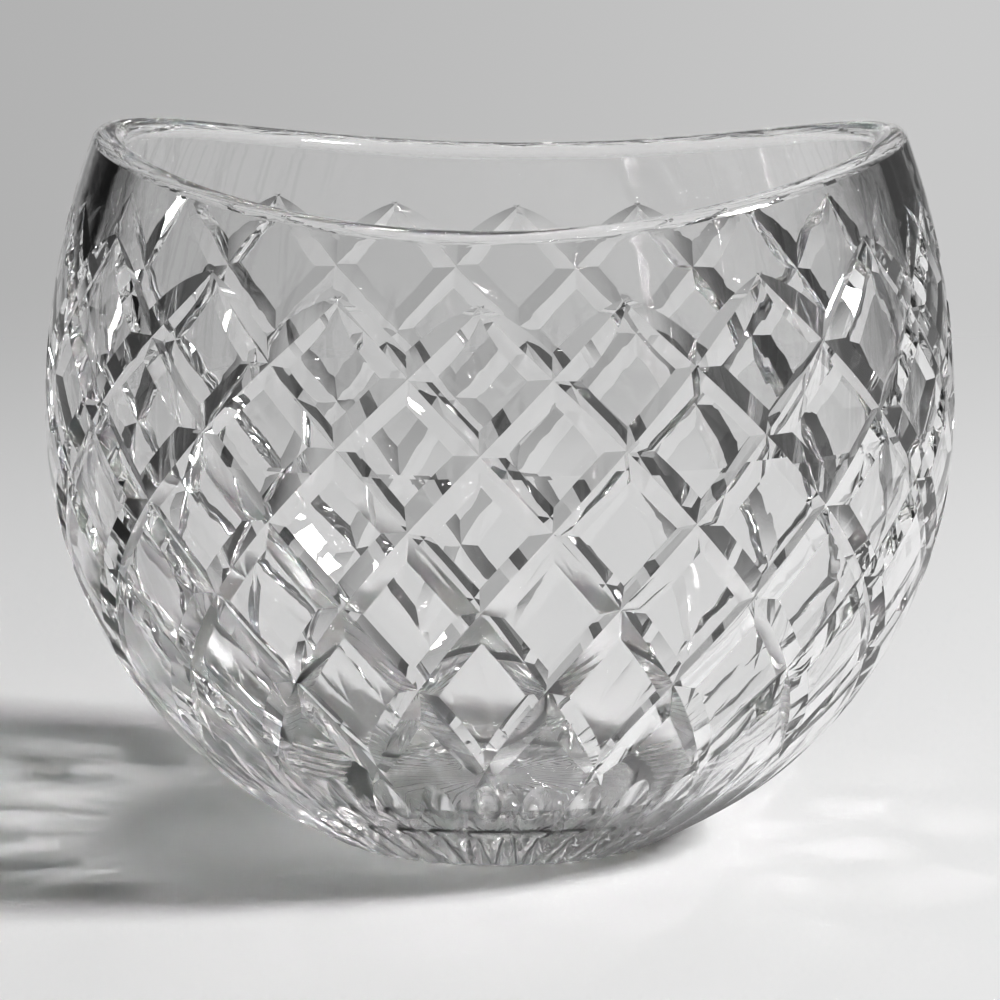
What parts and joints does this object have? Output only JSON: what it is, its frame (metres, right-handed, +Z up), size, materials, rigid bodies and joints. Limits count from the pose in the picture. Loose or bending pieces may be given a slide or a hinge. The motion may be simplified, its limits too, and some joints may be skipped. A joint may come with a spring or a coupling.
{
  "type": "rose bowl vase",
  "caption": "Ball-shaped clear cut-glass rose bowl with a saddle-shaped rim, diamond mitre-cut sides, fluted foot and star-cut base, for holding cut flowers.",
  "frame": {"origin": "centre of the foot, on the plane that the bowl stands on", "axes": "+Z up along the bowl's axis, X through the two high ends of the rim, -Y to the front of the bowl, where the rim dips"},
  "size_m": [0.178, 0.178, 0.1404],
  "materials": {
    "clear_cut_glass": "cut and polished"
  },
  "bodies": {
    "root": {"cut_glass_bowl": "clear_cut_glass"}
  },
  "joints": []
}
